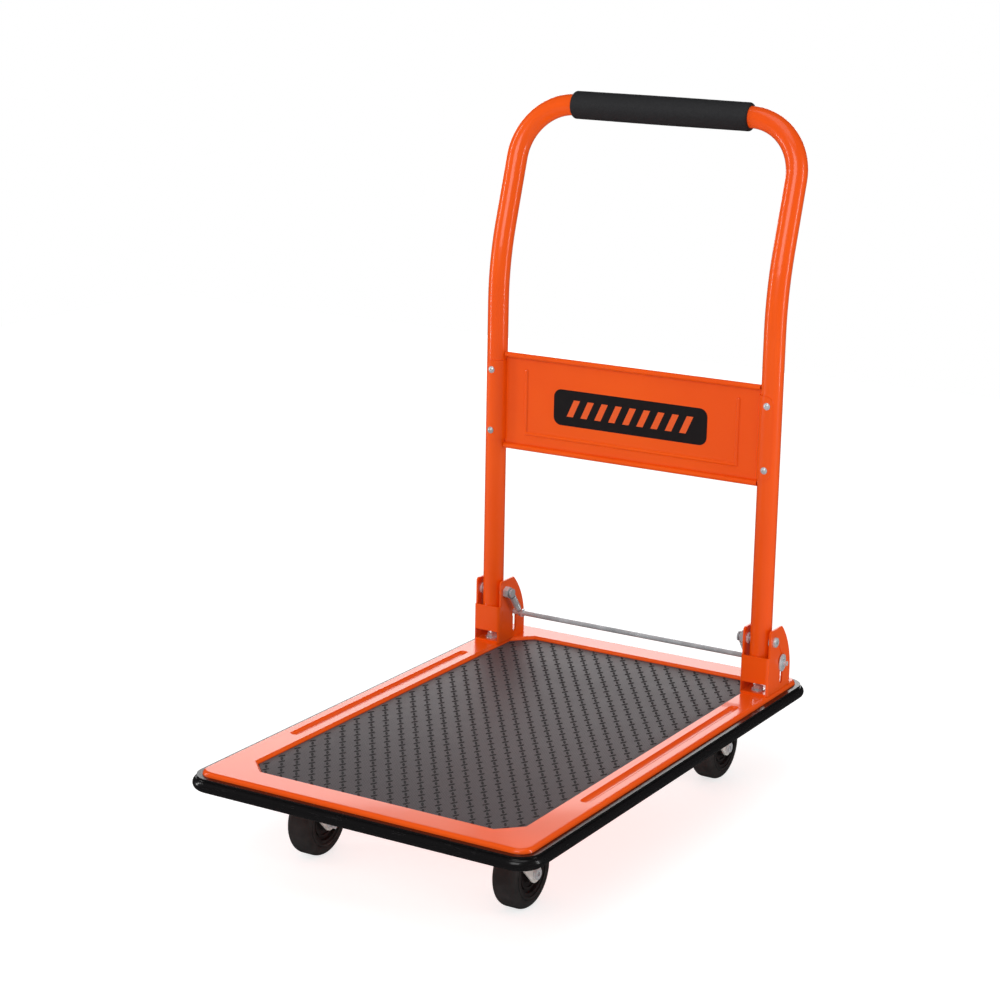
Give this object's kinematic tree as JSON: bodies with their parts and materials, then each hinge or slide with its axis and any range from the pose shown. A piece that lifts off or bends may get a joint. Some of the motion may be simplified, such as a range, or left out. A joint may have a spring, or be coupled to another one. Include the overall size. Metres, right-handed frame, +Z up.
{
  "type": "folding platform cart",
  "caption": "Folding platform cart: pressed steel deck with rubber mat and bumper, tubular handle folding forward on hinge brackets with a sliding lock bar, fixed and swivel casters.",
  "frame": {"origin": "on the floor under the centre of the deck", "axes": "+X to the cart's right-hand side, +Y towards the handle, +Z up"},
  "size_m": [0.43, 0.672, 0.8],
  "materials": {
    "orange_paint": "gloss powder coat",
    "black_pvc": "gloss",
    "deck_vinyl": "embossed matte",
    "grip_foam": "satin foam",
    "label_film": "satin print",
    "zinc_sheet": "matte zinc plate",
    "zinc_hardware": "bright zinc plate",
    "polished_ball": "polished",
    "tyre_rubber": "matte",
    "hub_plastic": "satin",
    "bush_nylon": "satin"
  },
  "bodies": {
    "platform": {"deck_pan": "orange_paint", "deck_mat": "deck_vinyl", "edge_bumper": "black_pvc", "front_cross_member": "zinc_sheet", "rear_cross_member": "zinc_sheet", "left_hinge_bracket": "orange_paint", "right_hinge_bracket": "orange_paint", "bracket_bolts": "zinc_hardware", "bracket_nuts": "zinc_hardware", "pivot_bolts": "zinc_hardware", "pivot_nuts": "zinc_hardware", "pivot_spacers": "zinc_hardware", "left_return_spring": "zinc_hardware", "right_return_spring": "zinc_hardware", "front_left_fork": "zinc_sheet", "front_right_fork": "zinc_sheet", "front_axle_bolts": "zinc_hardware", "front_axle_nuts": "zinc_hardware", "rear_left_caster_plate": "zinc_sheet", "rear_right_caster_plate": "zinc_sheet", "rear_kingpins": "zinc_hardware", "rear_left_race_balls": "polished_ball", "rear_right_race_balls": "polished_ball", "caster_bolts": "zinc_hardware", "caster_nuts": "zinc_hardware"},
    "handle": {"handle_tube": "orange_paint", "grip_sleeve": "grip_foam", "cross_panel": "orange_paint", "panel_rivets": "zinc_hardware", "panel_label": "label_film"},
    "lock": {"lock_bar": "zinc_hardware", "lock_bar_washers": "zinc_hardware", "lock_bar_clips": "zinc_hardware"},
    "rear_left_swivel": {"rear_left_fork": "zinc_sheet", "rear_left_axle_bolt": "zinc_hardware", "rear_left_axle_nut": "zinc_hardware"},
    "rear_right_swivel": {"rear_right_fork": "zinc_sheet", "rear_right_axle_bolt": "zinc_hardware", "rear_right_axle_nut": "zinc_hardware"},
    "front_left_wheel": {"front_left_tyre": "tyre_rubber", "front_left_hub": "hub_plastic", "front_left_bush": "bush_nylon"},
    "front_right_wheel": {"front_right_tyre": "tyre_rubber", "front_right_hub": "hub_plastic", "front_right_bush": "bush_nylon"},
    "rear_left_wheel": {"rear_left_tyre": "tyre_rubber", "rear_left_hub": "hub_plastic", "rear_left_bush": "bush_nylon"},
    "rear_right_wheel": {"rear_right_tyre": "tyre_rubber", "rear_right_hub": "hub_plastic", "rear_right_bush": "bush_nylon"}
  },
  "joints": [
    {"name": "handle_fold", "type": "hinge", "parent": "platform", "child": "handle", "pos_m": [0, 0.251, 0.181], "axis": [1, 0, 0], "range_deg": [0, 97]},
    {"name": "lock_release", "type": "slide", "parent": "platform", "child": "lock", "axis": [0, 0, -1], "range_m": [0, 0.022], "stiffness_N_per_m": 600, "springref_m": -0.01, "deforming": ["left_return_spring", "right_return_spring"]},
    {"name": "front_left_wheel_spin", "type": "hinge", "parent": "platform", "child": "front_left_wheel", "pos_m": [-0.13, -0.207, 0.04], "axis": [1, 0, 0], "continuous": true},
    {"name": "front_right_wheel_spin", "type": "hinge", "parent": "platform", "child": "front_right_wheel", "pos_m": [0.13, -0.207, 0.04], "axis": [1, 0, 0], "continuous": true},
    {"name": "rear_left_swivel_turn", "type": "hinge", "parent": "platform", "child": "rear_left_swivel", "pos_m": [-0.13, 0.222, 0.08], "axis": [0, 0, 1], "continuous": true},
    {"name": "rear_right_swivel_turn", "type": "hinge", "parent": "platform", "child": "rear_right_swivel", "pos_m": [0.13, 0.222, 0.08], "axis": [0, 0, 1], "continuous": true},
    {"name": "rear_left_wheel_spin", "type": "hinge", "parent": "rear_left_swivel", "child": "rear_left_wheel", "pos_m": [-0.13, 0.25, 0.04], "axis": [1, 0, 0], "continuous": true},
    {"name": "rear_right_wheel_spin", "type": "hinge", "parent": "rear_right_swivel", "child": "rear_right_wheel", "pos_m": [0.13, 0.25, 0.04], "axis": [1, 0, 0], "continuous": true}
  ]
}
